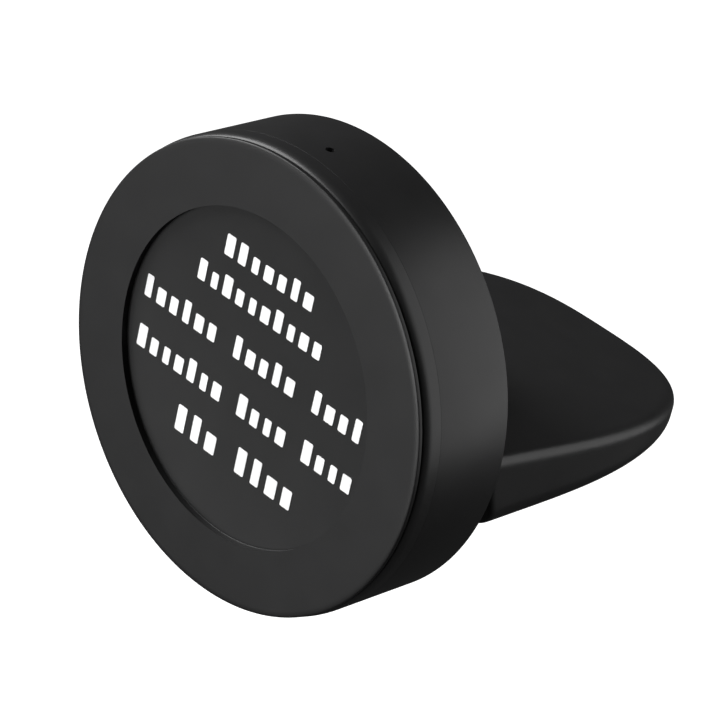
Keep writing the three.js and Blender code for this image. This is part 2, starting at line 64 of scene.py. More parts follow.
MM = 0.001
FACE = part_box("face_plate")[0].y
AXIS = sum(corner.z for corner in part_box("face_plate")) / 2


def front_of(node):
    """How far a CAD node's front lies behind the face, in mm."""
    return (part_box(node)[0].y - FACE) / MM


def back_of(node):
    return (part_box(node)[1].y - FACE) / MM


def radius_of(node):
    low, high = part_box(node)
    return (high.x - low.x) / 2 / MM


def top_of(node):
    """Height of a CAD node's top above the head's axis, in mm."""
    return (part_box(node)[1].z - AXIS) / MM


def foot_of(node):
    return (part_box(node)[0].z - AXIS) / MM


# Sizes read from the frame, in mm.
HEAD_RADIUS = radius_of("rear_housing")
HEAD_DEPTH = back_of("housing_screw_1")
PLATE_RADIUS = radius_of("face_plate")
PLATE_BACK = back_of("face_plate")
BALL_RADIUS = radius_of("ball_stud")
BALL_DEPTH = front_of("ball_stud") + BALL_RADIUS
SEAT_OUTER = radius_of("rear_seat")
COLLAR_FRONT = front_of("collar_nut")
COLLAR_END = back_of("collar_nut")
COLLAR_RADIUS = radius_of("collar_nut")
TAIL_HALF_WIDTH = radius_of("tail_shell")
TAIL_TIP = back_of("tail_shell")
TAIL_FRONT = front_of("tail_shell")
TAIL_BOTTOM = foot_of("tail_cover")
NECK_RADIUS = top_of("tail_shell")

# Sizes inside the nodes, in mm.
GAP = 0.3                        # between two parts that fit together
SEAM = 0.012                     # the line between bezel and housing
RECESS_RADIUS = 16.1
RECESS_DEPTH = 0.75
PLATE_EDGE = PLATE_RADIUS + 0.05
PLATE_ROUNDING = (0.65, 0.14)    # in from the plate's edge and back from its face
PLATE_BODY = 21.2
FLANGE = 0.45                    # the plate's rim is this thick
FLANGE_SEAT = 0.95               # depth of the bezel's step behind that rim
LIP_RADIUS = 22.05
LIP_FRONT = 0.62
LIP_FACE = (0.43, 0.95)          # in from the head's side and back from the lip's front
SEAM_DEPTH = 2.6
SPIGOT_STEP = 1.8
SPIGOT_END = 4.0
BEZEL_WALL = 3.1
HOUSING_WALL = 1.5
HOUSING_BACK = 1.6
SOCKET_WALL = 1.2
INDICATOR_DEPTH = 5.2
HOLE_RADIUS = 0.45
POST_ANGLES = (30, 150, 270)
POST_CIRCLE = 18.3
POST_RADIUS = 1.7
HOUSING_SCREW_LENGTH = 5.2
COVER_SCREWS = 3
COVER_SCREW_LENGTH = 3.6
SCREW_SEAT_RADIUS = 1.6
SCREW_HOLE_RADIUS = 1.0
THREAD_FRONT = 14.3              # the collar's thread ends and its cavity starts
THREAD_RADIUS = 7.7
STEM_RADIUS = 2.2
SHANK_RADIUS = 1.8

# The power socket's rounded rectangles, as (width, height, corner).
SOCKET_MOUTH = (8.2, 3.3, 1.2)
SOCKET_OUTSIDE = (7.6, 2.7, 0.9)
SOCKET_INSIDE = (6.9, 2.0, 0.55)

# Angles about the ball's centre, in degrees from the front of the axis.
FRONT_SEAT_END = 62
REAR_SEAT = (96, 131)
COLLAR_MOUTH = 135

# The printed rows: height of the row, height of its tall marks and step between marks, in
# hundredths of the recess's radius, then the row's middle, and the marks in each word.
PRINT_ROWS = (
    (68.5, 13.0, 10.8, 0.0, (7,)),
    (44.5, 13.0, 10.6, -1.5, (10,)),
    (14.0, 14.0, 10.9, 0.0, (6, 5, 4)),
    (-18.0, 14.0, 10.8, 1.5, (7, 4, 4)),
    (-50.5, 16.5, 12.9, 3.0, (3, 4)),
)
PRINT_RELIEF = 0.03
LOW_MARK = 0.74                  # height of a low mark as a share of a tall one
MARK_WIDTHS = (0.5, 0.66, 0.58)  # as shares of the step

ROUND_STEPS = 256
SMALL_STEPS = 48


# ---- camera: the photograph's viewing angle ----
def make_camera():
    azimuth, elevation, roll = map(math.radians, (39.30, 28.25, 13.26))
    distance, focal, sensor = 14.557, 179.4, 36.0
    aim = Vector((0.307, 0.361, 0.156))
    back = Vector((
        math.sin(azimuth) * math.cos(elevation),
        -math.cos(azimuth) * math.cos(elevation),
        math.sin(elevation),
    ))
    level = Vector((math.cos(azimuth), math.sin(azimuth), 0))
    upright = back.cross(level)
    right = math.cos(roll) * level + math.sin(roll) * upright
    turn = Matrix((right, back.cross(right), back)).transposed().to_4x4()
    data = bpy.data.cameras.new("camera")
    data.lens, data.sensor_width = focal, sensor
    data.clip_start, data.clip_end = 0.01, 20
    camera = bpy.data.objects.new("camera", data)
    centre = Vector((0, FACE, AXIS))
    place = centre + HEAD_RADIUS * MM * (aim + distance * back)
    camera.matrix_world = Matrix.Translation(place) @ turn
    bpy.context.scene.collection.objects.link(camera)
    bpy.context.scene.camera = camera


make_camera()


# ---- materials ----
def nodes_of(material):
    tree = material.node_tree
    return tree.nodes, tree.links, tree.nodes["Principled BSDF"]


def noise(material, scale, detail=3.0):
    """A noise texture over the object's own coordinates; scale is in waves per metre."""
    nodes, links, _ = nodes_of(material)
    place = nodes.new("ShaderNodeTexCoord")
    texture = nodes.new("ShaderNodeTexNoise")
    texture.inputs["Scale"].default_value = scale
    texture.inputs["Detail"].default_value = detail
    links.new(place.outputs["Object"], texture.inputs["Vector"])
    return texture


def spread(material, texture, low, high):
    """Maps a texture's value to a range."""
    nodes, links, _ = nodes_of(material)
    ramp = nodes.new("ShaderNodeMapRange")
    ramp.inputs["From Min"].default_value = 0.3
    ramp.inputs["From Max"].default_value = 0.7
    ramp.inputs["To Min"].default_value = low
    ramp.inputs["To Max"].default_value = high
    links.new(texture.outputs[0], ramp.inputs["Value"])
    return ramp.outputs["Result"]


def surface(name, color, roughness, metallic=0.0, vary=0.06, grain=9000.0, bump=0.02, specular=0.5):
    """A moulded, plated or rubber surface: mottled colour and gloss, with a fine grain in relief."""
    material = bpy.data.materials.new(name)
    material.use_nodes = True
    nodes, links, shader = nodes_of(material)
    shader.inputs["Metallic"].default_value = metallic
    shader.inputs["Specular IOR Level"].default_value = specular
    cloud = noise(material, 260.0)
    links.new(spread(material, cloud, roughness - vary, roughness + vary), shader.inputs["Roughness"])
    mix = nodes.new("ShaderNodeMix")
    mix.data_type = "RGBA"
    mix.inputs[6].default_value = (*[c * 0.92 for c in color], 1)
    mix.inputs[7].default_value = (*[min(1, c * 1.08) for c in color], 1)
    links.new(cloud.outputs[0], mix.inputs[0])
    links.new(mix.outputs[2], shader.inputs["Base Color"])
    relief = nodes.new("ShaderNodeBump")
    relief.inputs["Strength"].default_value = bump
    relief.inputs["Distance"].default_value = 0.00005
    links.new(noise(material, grain, 2.0).outputs[0], relief.inputs["Height"])
    links.new(relief.outputs["Normal"], shader.inputs["Normal"])
    return material


def grey(level):
    return (level, level, level * 1.02)


FACE_PLASTIC = surface("face_plastic", grey(0.012), 0.42, vary=0.02, bump=0.15, specular=0.35)
SATIN = surface("housing_satin", grey(0.018), 0.38, vary=0.02, bump=0.10, specular=0.4)
TAIL_SATIN = surface("tail_satin", grey(0.018), 0.40, vary=0.02, bump=0.10, specular=0.4)
COLLAR_PLASTIC = surface("collar_plastic", grey(0.022), 0.5, bump=0.2)
RUBBER = surface("pad_rubber", grey(0.014), 0.78, bump=0.4, grain=5000.0, specular=0.3)
PRINT = surface("print_white", (0.92, 0.92, 0.92), 0.45, bump=0.05)
WHITE_PLASTIC = surface("white_moulding", (0.68, 0.68, 0.66), 0.45)
BLACK_PLASTIC = surface("black_moulding", grey(0.03), 0.5)
CLEAR = surface("clear_acrylic", (0.75, 0.8, 0.82), 0.12, vary=0.03)
ACETAL = surface("acetal", (0.74, 0.73, 0.68), 0.3)
STEEL = surface("plated_steel", (0.55, 0.55, 0.56), 0.3, metallic=1.0, grain=14000.0)
POLISHED = surface("polished_steel", (0.62, 0.62, 0.64), 0.16, metallic=1.0, vary=0.04)
NICKEL = surface("nickel_plate", (0.66, 0.64, 0.6), 0.2, metallic=1.0, vary=0.05)
GOLD = surface("gold_contacts", (0.9, 0.62, 0.25), 0.22, metallic=1.0)
FERRITE = surface("ferrite", (0.07, 0.065, 0.062), 0.7, bump=0.3)
BOARD = surface("solder_mask", (0.02, 0.09, 0.035), 0.35)


def wound_copper():
    """Enamelled wire in rings about the head's axis."""
    material = surface("wound_copper", (0.6, 0.26, 0.12), 0.3, metallic=1.0)
    nodes, links, shader = nodes_of(material)
    place = nodes.new("ShaderNodeTexCoord")
    shift = nodes.new("ShaderNodeMapping")
    shift.inputs["Location"].default_value = (0, 0, -AXIS)
    rings = nodes.new("ShaderNodeTexWave")
    rings.wave_type = "RINGS"
    rings.rings_direction = "Y"
    rings.inputs["Scale"].default_value = 550.0
    relief = nodes.new("ShaderNodeBump")
    relief.inputs["Distance"].default_value = 0.0002
    links.new(place.outputs["Object"], shift.inputs["Vector"])
    links.new(shift.outputs["Vector"], rings.inputs["Vector"])
    links.new(rings.outputs["Fac"], relief.inputs["Height"])
    links.new(relief.outputs["Normal"], shader.inputs["Normal"])
    return material


COPPER = wound_copper()


# ---- mesh helpers ----
def place(x, depth, height):
    """A point about the head's axis, in mm, as a point of the frame."""
    return Vector((x * MM, FACE + depth * MM, AXIS + height * MM))


def outward(mesh):
    bm = bmesh.new()
    bm.from_mesh(mesh)
    bmesh.ops.recalc_face_normals(bm, faces=bm.faces)
    bm.to_mesh(mesh)
    bm.free()


def smooth(mesh, sharp_degrees=32):
    """Smooth faces, with every edge over the given angle kept sharp."""
    bm = bmesh.new()
    bm.from_mesh(mesh)
    for face in bm.faces:
        face.smooth = True
    for edge in bm.edges:
        edge.smooth = edge.calc_face_angle(math.pi) < math.radians(sharp_degrees)
    bm.to_mesh(mesh)
    bm.free()


def new_object(name, points, faces):
    mesh = bpy.data.meshes.new(name)
    mesh.from_pydata([place(*point) for point in points], [], faces)
    outward(mesh)
    obj = bpy.data.objects.new(name, mesh)
    bpy.context.scene.collection.objects.link(obj)
    return obj


def arc(radius, start, end, steps):
    """[radius, depth] points round the ball's centre; degrees from the front of the axis."""
    angles = [math.radians(start + (end - start) * i / steps) for i in range(steps + 1)]
    return [(radius * math.sin(a), BALL_DEPTH - radius * math.cos(a)) for a in angles]


def rounded(corners, steps=6):
    """A closed outline whose (u, v, rounding) corners are turned into arcs."""
    outline = []
    for i, (u, v, rounding) in enumerate(corners):
        here = Vector((u, v))
        if not rounding:
            outline.append((u, v))
            continue
        before = (Vector(corners[i - 1][:2]) - here).normalized()
        after = (Vector(corners[(i + 1) % len(corners)][:2]) - here).normalized()
        half = before.angle(after) / 2
        middle = (before + after).normalized()
        centre = here + middle * rounding / math.sin(half)
        start = here + before * rounding / math.tan(half) - centre
        end = here + after * rounding / math.tan(half) - centre
        for k in range(steps + 1):
            spoke = start.slerp(end, k / steps) * rounding
            outline.append(tuple(centre + spoke))
    return outline


def bend(start, end, steps=10):
    """A quarter of an ellipse from facing the front at the start to facing outward at the end."""
    (r0, d0), (r1, d1) = start, end
    turns = [math.pi / 2 * i / steps for i in range(steps + 1)]
    return [(r0 + (r1 - r0) * math.sin(t), d0 + (d1 - d0) * (1 - math.cos(t))) for t in turns]


def turned(name, profile, steps=ROUND_STEPS, wave=None):
    """A body turned about the head's axis from a closed [radius, depth] profile.
    wave(angle, radius, depth) may move a point in or out."""
    points, rings = [], []
    for radius, depth in profile:
        if radius < 1e-6:
            rings.append([len(points)] * steps)
            points.append((0, depth, 0))
            continue
        ring = []
        for i in range(steps):
            angle = 2 * math.pi * i / steps
            reach = wave(angle, radius, depth) if wave else radius
            ring.append(len(points))
            points.append((reach * math.sin(angle), depth, reach * math.cos(angle)))
        rings.append(ring)
    faces = []
    for a, b in zip(rings, rings[1:] + rings[:1]):
        for i in range(steps):
            j = (i + 1) % steps
            face = list(dict.fromkeys((a[i], a[j], b[j], b[i])))
            if len(face) > 2:
                faces.append(face)
    return new_object(name, points, faces)


def prism(name, outline, low, high, axis="z"):
    """An outline pushed along an axis: (x, depth) outlines go up, (x, height) outlines go back."""
    count = len(outline)
    if axis == "z":
        points = [(u, v, low) for u, v in outline] + [(u, v, high) for u, v in outline]
    else:
        points = [(u, low, v) for u, v in outline] + [(u, high, v) for u, v in outline]
    sides = [(i, (i + 1) % count, count + (i + 1) % count, count + i) for i in range(count)]
    caps = [tuple(range(count)), tuple(range(2 * count - 1, count - 1, -1))]
    return new_object(name, points, sides + caps)


def disc(radius, centre=(0, 0), steps=SMALL_STEPS):
    angles = [2 * math.pi * i / steps for i in range(steps)]
    return [(centre[0] + radius * math.cos(a), centre[1] + radius * math.sin(a)) for a in angles]


def slab(u, v, width, height, rounding):
    """A rounded rectangle's outline about (u, v)."""
    w, h = width / 2, height / 2
    corners = [(u - w, v - h), (u + w, v - h), (u + w, v + h), (u - w, v + h)]
    return rounded([(*corner, rounding) for corner in corners])


def around(angle, radius):
    """(x, height) on a circle about the axis; degrees from the top, towards +X."""
    turn = math.radians(angle)
    return radius * math.sin(turn), radius * math.cos(turn)


def baked(obj):
    """Applies the object's modifiers to its mesh."""
    graph = bpy.context.evaluated_depsgraph_get()
    mesh = bpy.data.meshes.new_from_object(obj.evaluated_get(graph))
    obj.modifiers.clear()
    obj.data = mesh


def combine(obj, other, operation="DIFFERENCE"):
    """Cuts other out of obj, or joins it on, and removes other."""
    modifier = obj.modifiers.new("combine", "BOOLEAN")
    modifier.operation, modifier.object, modifier.solver = operation, other, "EXACT"
    baked(obj)
    bpy.data.objects.remove(other)


def bevel(obj, width, segments=3, degrees=40):
    modifier = obj.modifiers.new("bevel", "BEVEL")
    modifier.width, modifier.segments = width * MM, segments
    modifier.limit_method, modifier.angle_limit = "ANGLE", math.radians(degrees)
    modifier.use_clamp_overlap = True
    baked(obj)


def piece(obj, body, material, slot, *nodes, sharp=32):
    """Finishes a piece: its shading, material and body, and hides the CAD nodes it stands for. The
    slot argument is not used.
    """
    smooth(obj.data, sharp)
    obj.data.materials.clear()
    obj.data.materials.append(material)
    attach(obj, body)
    if nodes:
        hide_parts(*nodes)


# ---- head ----
def make_face_plate():
    inward, back = PLATE_ROUNDING
    edge = bend((PLATE_EDGE - inward, 0), (PLATE_EDGE, back))
    profile = rounded([
        (0, RECESS_DEPTH, 0), (RECESS_RADIUS, RECESS_DEPTH, 0.05), (RECESS_RADIUS, 0, 0.06),
    ]) + edge + [
        (PLATE_EDGE, FLANGE), (PLATE_BODY, FLANGE), (PLATE_BODY, PLATE_BACK), (0, PLATE_BACK),
    ]
    piece(turned("plate", profile), "head", FACE_PLASTIC, "face_plastic", "face_plate")


def make_bezel():
    lip = PLATE_BODY + GAP
    ledge = PLATE_BACK + GAP
    spigot = HEAD_RADIUS - SPIGOT_STEP
    inner = radius_of("front_bezel") - BEZEL_WALL
    inward, back = LIP_FACE
    profile = [(lip, FLANGE_SEAT), (LIP_RADIUS, FLANGE_SEAT)]
    profile += bend((HEAD_RADIUS - inward, LIP_FRONT), (HEAD_RADIUS, LIP_FRONT + back))
    profile += [
        (HEAD_RADIUS, SEAM_DEPTH), (spigot, SEAM_DEPTH), (spigot, SPIGOT_END),
        (inner, SPIGOT_END), (inner, ledge), (lip, ledge),
    ]
    bezel = turned("bezel", profile)
    post_front, post_end = ledge + 0.2, HEAD_DEPTH - HOUSING_BACK - GAP
    for angle in POST_ANGLES:
        section = disc(POST_RADIUS, around(angle, POST_CIRCLE))
        combine(bezel, prism("post", section, post_front, post_end, "y"), "UNION")
    piece(bezel, "head", SATIN, "housing_plastic", "front_bezel")


def about_socket(rectangle):
    """A rounded rectangle's outline in the rim, about the power socket's centre."""
    middle = (front_of("usb_shell") + back_of("usb_shell")) / 2
    return slab(0, middle, *rectangle)


def make_housing():
    inner = HEAD_RADIUS - HOUSING_WALL
    wall = HEAD_DEPTH - HOUSING_BACK
    cavity = SEAT_OUTER + GAP
    dome = cavity + SOCKET_WALL
    boss, boss_end = 7.4, back_of("rear_housing")
    dome_end = math.degrees(math.acos((BALL_DEPTH - wall) / dome))
    outside = rounded([
        (inner, wall, 0), (inner, SEAM_DEPTH + SEAM, 0), (HEAD_RADIUS, SEAM_DEPTH + SEAM, 0.01),
        (HEAD_RADIUS, HEAD_DEPTH, 0.06), (boss, HEAD_DEPTH, 0), (boss, boss_end, 0.1),
        (cavity, boss_end, 0),
    ])
    profile = arc(dome, 0, dome_end, 12) + outside + arc(cavity, 90, 0, 24)
    housing = turned("housing", profile)
    for angle in POST_ANGLES:
        centre = around(angle, POST_CIRCLE)
        seat, hole = disc(SCREW_SEAT_RADIUS, centre), disc(SCREW_HOLE_RADIUS, centre)
        combine(housing, prism("cut", seat, HEAD_DEPTH - 0.8, HEAD_DEPTH + 1, "y"))
        combine(housing, prism("cut", hole, wall - 1, HEAD_DEPTH + 1, "y"))
    window = disc(HOLE_RADIUS, (0, INDICATOR_DEPTH))
    combine(housing, prism("cut", window, inner - 1, HEAD_RADIUS + 1))
    mouth = about_socket(SOCKET_MOUTH)
    combine(housing, prism("cut", mouth, -HEAD_RADIUS - 1, -inner + 1))
    piece(housing, "head", SATIN, "housing_plastic", "rear_housing")


def make_socket():
    bottom, top = foot_of("usb_shell"), top_of("usb_shell")
    shell = prism("socket_shell", about_socket(SOCKET_OUTSIDE), bottom, top)
    combine(shell, prism("cut", about_socket(SOCKET_INSIDE), bottom - 1, top - 0.35))
    piece(shell, "head", STEEL, "steel", "usb_shell")
    front, back = front_of("usb_tongue"), back_of("usb_tongue")
    low, high = foot_of("usb_tongue"), top_of("usb_tongue")
    middle = (front + back) / 2
    tongue = prism("socket_tongue", slab(0, middle, 4.8, back - front, 0.12), low, high)
    piece(tongue, "head", BLACK_PLASTIC, "inner_black", "usb_tongue")
    count, pitch = 5, 0.8
    for i in range(count):
        strip = slab((i - (count - 1) / 2) * pitch, front - 0.02, 0.4, 0.06, 0.01)
        contact = prism(f"socket_contact_{i + 1}", strip, low + 0.3, high)
        piece(contact, "head", GOLD, "coil_copper")


def make_collar():
    grips, depth_of_grip = 8, 0.42
    notch_share = 0.32
    shoulder = 15.0

    def scallop(angle, radius, depth):
        if radius < COLLAR_RADIUS - 0.7 or depth > shoulder + 0.4:
            return radius
        phase = (angle * grips / (2 * math.pi) + 0.5) % 1 - 0.5
        dip = max(0.0, math.cos(math.pi * min(0.5, abs(phase) / notch_share)))
        return radius - depth_of_grip * dip ** 1.5

    cavity = SEAT_OUTER + GAP
    lip_angle = 90 + math.degrees(math.asin((THREAD_FRONT - BALL_DEPTH) / cavity))
    mouth = arc(cavity, COLLAR_MOUTH, lip_angle, 10)
    outside = rounded([
        (THREAD_RADIUS, COLLAR_FRONT, 0.1), (COLLAR_RADIUS, COLLAR_FRONT, 0.3),
        (COLLAR_RADIUS, shoulder, 0.5), (6.6, COLLAR_END, 0.5),
        (mouth[0][0], COLLAR_END, 0.08),
    ])
    collar = turned("collar", outside + mouth + [(THREAD_RADIUS, THREAD_FRONT)], wave=scallop)
    piece(collar, "head", COLLAR_PLASTIC, "collar_plastic", "collar_nut")


def make_screw(name, node, length, centre, axis, body):
    """A pan head with a cross recess, lying in the place of its CAD node."""
    head, shank, head_height = 1.3, 0.7, 0.5
    outline = rounded([
        (0, 0, 0), (head, 0, 0.22), (head, head_height, 0.05), (shank, head_height, 0),
        (shank, length - 0.4, 0), (0, length, 0),
    ])
    screw = turned(name, [(radius, -depth) for radius, depth in outline], SMALL_STEPS)
    for width, breadth in ((1.5, 0.3), (0.3, 1.5)):
        combine(screw, prism("cut", slab(0, 0, width, breadth, 0.02), -0.3, 0.2, "y"))
    screw.data.transform(Matrix.Translation(-place(0, 0, 0)))
    if axis == "z":
        screw.data.transform(Matrix.Rotation(-math.pi / 2, 4, "X"))
    screw.data.transform(Matrix.Translation(place(*centre)))
    piece(screw, body, STEEL, "steel", node)


def cover_screw_centre(i):
    """(x, depth) of one of the screws in the tail's cover."""
    low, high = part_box(f"cover_screw_{i + 1}")
    return (low.x + high.x) / 2 / MM, ((low.y + high.y) / 2 - FACE) / MM


def make_screws():
    for i, angle in enumerate(POST_ANGLES):
        x, height = around(angle, POST_CIRCLE)
        name, node = f"back_screw_{i + 1}", f"housing_screw_{i + 1}"
        make_screw(name, node, HOUSING_SCREW_LENGTH, (x, HEAD_DEPTH, height), "y", "head")
    for i in range(COVER_SCREWS):
        name, node = f"pad_screw_{i + 1}", f"cover_screw_{i + 1}"
        x, depth = cover_screw_centre(i)
        make_screw(name, node, COVER_SCREW_LENGTH, (x, depth, foot_of(node)), "z", "tail")


# ---- printed marks: plain blocks in rows, in place of lettering ----
def row_outlines(number, level, tall, step, middle, words):
    """The marks of one row, tall and low ones in turn, with an empty cell between words."""
    share = RECESS_RADIUS / 100
    cells = sum(words) + len(words) - 1
    start = middle - step * (cells - 1) / 2
    outlines, cell = [], 0
    for word in words:
        for k in range(word):
            is_tall = k == 0 or (k * 3 + number) % 4 == 0
            height = tall * (1.0 if is_tall else LOW_MARK)
            width = step * MARK_WIDTHS[(k + number) % len(MARK_WIDTHS)]
            u, v = start + step * cell, level - tall / 2 + height / 2
            outlines.append(slab(u * share, v * share, width * share, height * share, 0.16))
            cell += 1
        cell += 1
    return outlines


def raised_marks(name, outlines):
    """One mesh of separate low prisms that stand on the recess's floor."""
    points, faces = [], []
    for outline in outlines:
        first, count = len(points), len(outline)
        points += [(u, RECESS_DEPTH - PRINT_RELIEF, v) for u, v in outline]
        points += [(u, RECESS_DEPTH, v) for u, v in outline]
        for i in range(count):
            j = (i + 1) % count
            faces.append((first + i, first + j, first + count + j, first + count + i))
        faces.append(tuple(range(first, first + count)))
        faces.append(tuple(range(first + 2 * count - 1, first + count - 1, -1)))
    return new_object(name, points, faces)


def make_print():
    for number, row in enumerate(PRINT_ROWS, start=1):
        marks = raised_marks(f"print_row_{number}", row_outlines(number, *row))
        piece(marks, "head", PRINT, "print_white")


# ---- joint ----
def make_joint():
    shoulder, foot, end = 2.7, NECK_FRONT - GAP, back_of("ball_stud")
    stem_angle = 180 - math.degrees(math.asin(STEM_RADIUS / BALL_RADIUS))
    profile = arc(BALL_RADIUS, 0, stem_angle, 40) + rounded([
        (STEM_RADIUS, foot - 0.9, 0.2), (shoulder, foot - 0.8, 0.1), (shoulder, foot, 0.1),
        (SHANK_RADIUS, foot, 0), (SHANK_RADIUS, end - 0.3, 0), (0, end, 0),
    ])
    piece(turned("stud", profile, 128), "tail", POLISHED, "stud_steel", "ball_stud")
    inner = BALL_RADIUS + GAP
    cup = arc(inner, 0, FRONT_SEAT_END, 16) + arc(SEAT_OUTER, FRONT_SEAT_END, 0, 16)
    piece(turned("seat_cup", cup, 96), "tilt_seat", ACETAL, "seat_acetal", "front_seat")
    start, end = REAR_SEAT
    ring = arc(inner, start, end, 10) + arc(SEAT_OUTER, end, start, 10)
    piece(turned("seat_ring", ring, 96), "pan_seat", ACETAL, "seat_acetal", "rear_seat")


# ---- tail: one smooth surface through a field that is negative inside ----
PLAN_POWER = 2.95                # how square the plan outline is
PLAN_TIP = TAIL_TIP - 0.3
ROUND_START = 22.8               # depth at which the outline starts to close in
TOP_HEIGHT = -1.6                # of the sloping top, where it meets the head's back
SLOPE = 0.123
CORNER_ACROSS = 8.87             # the side draws in by this much towards the bottom
CORNER_UP = 4.61                 # and starts to do so at this height above it
HORN_INNER, NOTCH_INNER = 17.2, 11.5
NECK_FRONT = 18.9
NECK_BACK = 26.0
NECK_SLOPE = 0.42
NECK_BASE_DROP = 5
STUD_BORE_RADIUS = 2.1
STUD_BORE_END = 24.0
FRONT_LEAN = math.radians(20)
LEAN_DROP = 0.8                  # the front starts to lean this far under the top
EDGE_SOFTNESS = 1.1
NECK_SOFTNESS = 2.4
NECK_FILLET = 2.6
COVER_INSET = 7.6
COVER_FRONT = 23.9
COVER_FIT = 0.2
POCKET_HEIGHT = 2.1
PAD_POCKET_INSET = 8.9
PAD_INSET = 9.2
PAD_HALF_WIDTH = 8.2
PAD_GROOVE_DEPTH = 0.18


def both(a, b, softness):
    """Where both fields are inside, with a rounded edge between them."""
    blend = np.clip(0.5 + 0.5 * (a - b) / softness, 0, 1)
    return b + (a - b) * blend + softness * blend * (1 - blend)


def either(a, b, softness):
    """Where one field or the other is inside, with a fillet between them."""
    return -both(-a, -b, softness)


def plan_field(x, depth, inset=0.0):
    """Across and along the plan outline: 1 on it, less inside."""
    beyond = np.maximum(0, depth - ROUND_START) / (PLAN_TIP - inset - ROUND_START)
    across = np.abs(x) / (TAIL_HALF_WIDTH - inset)
    return (across ** PLAN_POWER + beyond ** PLAN_POWER) ** (1 / PLAN_POWER)


def wedge_field(x, depth, height):
    """The wedge: its sides follow the plan and draw in below, and its top slopes down."""
    rise = np.clip((height - TAIL_BOTTOM) / CORNER_UP, 0, 1)
    drawn_in = CORNER_ACROSS * (1 - np.sqrt(1 - (1 - rise) ** 2))
    side = (plan_field(x, depth) - 1) * TAIL_HALF_WIDTH + drawn_in
    tilt = math.cos(math.atan(SLOPE))
    top = (height - TOP_HEIGHT + SLOPE * (depth - HEAD_DEPTH)) * tilt
    return both(both(side, top, EDGE_SOFTNESS), TAIL_BOTTOM - height, 0.3)


def neck_field(x, depth, height):
    """The round-topped post that carries the ball stud, its back sloping down to the wedge."""
    round_top = np.hypot(x, np.maximum(0, height)) - NECK_RADIUS
    back = (depth - NECK_BACK) * math.cos(NECK_SLOPE) + height * math.sin(NECK_SLOPE)
    base = TOP_HEIGHT - NECK_BASE_DROP - height
    return both(both(round_top, back, NECK_SOFTNESS), base, 0.5)


def tail_field(x, depth, height):
    """The whole shell, with its notched front, the cover's pocket and the stud's bore."""
    body = either(wedge_field(x, depth, height), neck_field(x, depth, height), NECK_FILLET)
    share = np.clip((np.abs(x) - NOTCH_INNER) / (HORN_INNER - NOTCH_INNER), 0, 1)
    front = NECK_FRONT + (TAIL_FRONT - NECK_FRONT) * (3 * share ** 2 - 2 * share ** 3)
    lean_top = TOP_HEIGHT - LEAN_DROP
    lean = (lean_top - height) * math.sin(FRONT_LEAN) - (depth - TAIL_FRONT) * math.cos(FRONT_LEAN)
    body = both(body, both(front - depth, lean, 0.4), 0.6)
    pocket = (plan_field(x, depth, COVER_INSET) - 1) * (TAIL_HALF_WIDTH - COVER_INSET)
    roof = height - TAIL_BOTTOM - POCKET_HEIGHT
    pocket = np.maximum(np.maximum(pocket, COVER_FRONT - depth), roof)
    body = both(body, -pocket, 0.3)
    bore = np.maximum(np.hypot(x, height) - STUD_BORE_RADIUS, depth - STUD_BORE_END)
    return both(body, -bore, 0.2)


def lattice(field, low, high, step):
    """The field's zero surface as (points, quads): one point in each cell that it crosses."""
    axes = [np.arange(a, b + step, step) for a, b in zip(low, high)]
    grid = np.meshgrid(*axes, indexing="ij")
    value = field(*grid)
    shape = [n - 1 for n in value.shape]
    total, count = np.zeros((*shape, 3)), np.zeros(shape)
    corner = np.stack(grid, -1)

    def window(data, shift):
        return data[tuple(slice(s, s + n) for s, n in zip(shift, shape))]

    for axis in range(3):
        others = [a for a in range(3) if a != axis]
        for u in (0, 1):
            for v in (0, 1):
                near = [0, 0, 0]
                near[others[0]], near[others[1]] = u, v
                far = list(near)
                far[axis] = 1
                a, b = window(value, near), window(value, far)
                crossed = (a < 0) != (b < 0)
                share = np.where(crossed, a / np.where(crossed, a - b, 1), 0)
                point = window(corner, near).copy()
                point[..., axis] += share * step
                total += point * crossed[..., None]
                count += crossed
    active = count > 0
    number = -np.ones(shape, int)
    number[active] = np.arange(active.sum())
    points = total[active] / count[active][:, None]
    quads = []
    inside = value < 0
    for axis in range(3):
        u, v = [a for a in range(3) if a != axis]
        first = np.moveaxis(inside, (axis, u, v), (0, 1, 2))
        cells = np.moveaxis(number, (axis, u, v), (0, 1, 2))
        here = first[:-1, 1:-1, 1:-1] != first[1:, 1:-1, 1:-1]
        i, j, k = np.nonzero(here)
        quads.append(np.stack([
            cells[i, j, k], cells[i, j + 1, k], cells[i, j + 1, k + 1], cells[i, j, k + 1],
        ], 1))
    return points, np.concatenate(quads)


def settle(points, field, rounds=4, reach=0.02):
    """Moves points onto the field's zero surface along its slope."""
    for _ in range(rounds):
        value = field(*points.T)
        slope = np.stack([
            (field(*(points + offset).T) - field(*(points - offset).T)) / (2 * reach)
            for offset in np.eye(3) * reach
        ], 1)
        size = np.maximum((slope ** 2).sum(1), 0.2)
        points = points - np.clip(value / size, -0.2, 0.2)[:, None] * slope
    return points


def make_tail():
    step = 0.28
    low = (-TAIL_HALF_WIDTH - 1, TAIL_FRONT - 1, TAIL_BOTTOM - 1)
    high = (TAIL_HALF_WIDTH + 1, TAIL_TIP + 1, NECK_RADIUS + 1)
    points, quads = lattice(tail_field, low, high, step)
    points = settle(points, tail_field)
    tail = new_object("wedge", points.tolist(), quads.tolist())
    piece(tail, "tail", TAIL_SATIN, "tail_plastic", "tail_shell", sharp=80)


